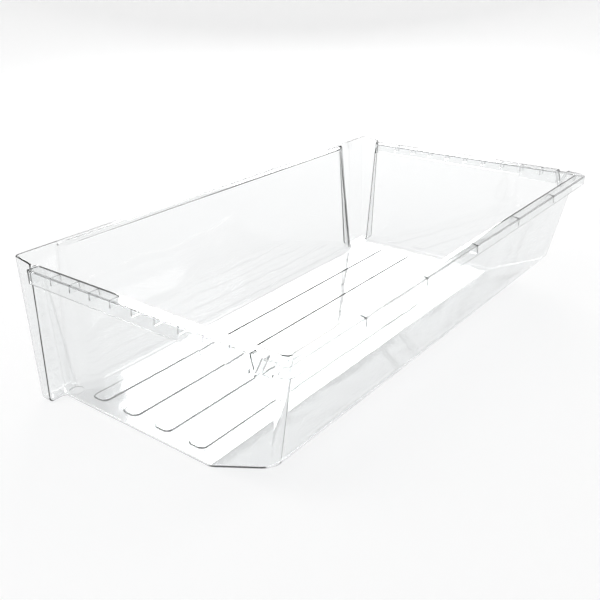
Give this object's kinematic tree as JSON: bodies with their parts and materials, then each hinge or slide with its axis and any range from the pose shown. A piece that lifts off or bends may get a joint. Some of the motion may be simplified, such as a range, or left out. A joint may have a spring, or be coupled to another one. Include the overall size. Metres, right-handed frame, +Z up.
{
  "type": "freezer drawer",
  "caption": "Wide clear freezer drawer: an open tub with a ramp at the back of its floor, a set-back front panel between two upright wings, and a ribbed rim with V-shaped stops.",
  "frame": {"origin": "middle of the drawer's footprint (the rectangle round it seen from above), on the flat underside of its floor", "axes": "+X along the drawer, from end to end, which is across the appliance; -Y towards the front of the appliance, the way the drawer pulls out; +Z up"},
  "size_m": [0.7, 0.385, 0.181],
  "materials": {
    "clear_plastic": "clear, gloss"
  },
  "bodies": {
    "root": {"drawer_tub": "clear_plastic"}
  },
  "joints": []
}
